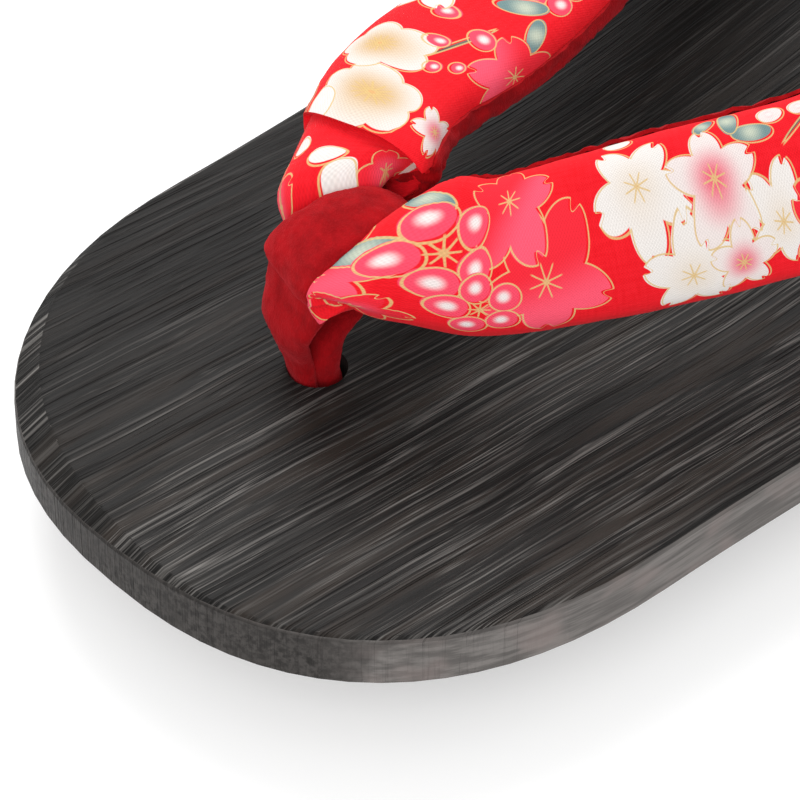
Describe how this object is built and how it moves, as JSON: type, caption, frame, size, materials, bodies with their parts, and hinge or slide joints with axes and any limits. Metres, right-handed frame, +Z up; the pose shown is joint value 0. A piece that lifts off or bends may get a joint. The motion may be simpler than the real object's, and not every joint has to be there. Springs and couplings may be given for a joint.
{
  "type": "geta sandal",
  "caption": "Left geta sandal: low boat-bottomed wooden body on rubber treads, with a padded printed V strap and a velvet front thong tied through the wood.",
  "frame": {"origin": "on the ground, under the middle of the body's length and width", "axes": "+Z up, -Y to the toe, +Y to the heel, +X to the little toe's side of a left foot"},
  "size_m": [0.0944, 0.24, 0.0506],
  "materials": {
    "black_wood": "black-stained paulownia, brushed so that the grain stands in fine pale ridges, semi-matt",
    "tread_rubber": "matt black rubber with fine cross ribs",
    "print_cotton": "bright red plain-weave cotton with printed blossoms, leaves and gold outlines",
    "thong_velvet": "crimson velvet, short pile",
    "tie_cord": "undyed twisted hemp cord, knotted"
  },
  "bodies": {
    "root": {"dai": "black_wood", "ball_tread": "tread_rubber", "heel_tread": "tread_rubber", "hanao": "print_cotton", "maetsubo": "thong_velvet", "front_knot": "tie_cord", "outer_knot": "tie_cord", "inner_knot": "tie_cord"}
  },
  "joints": []
}
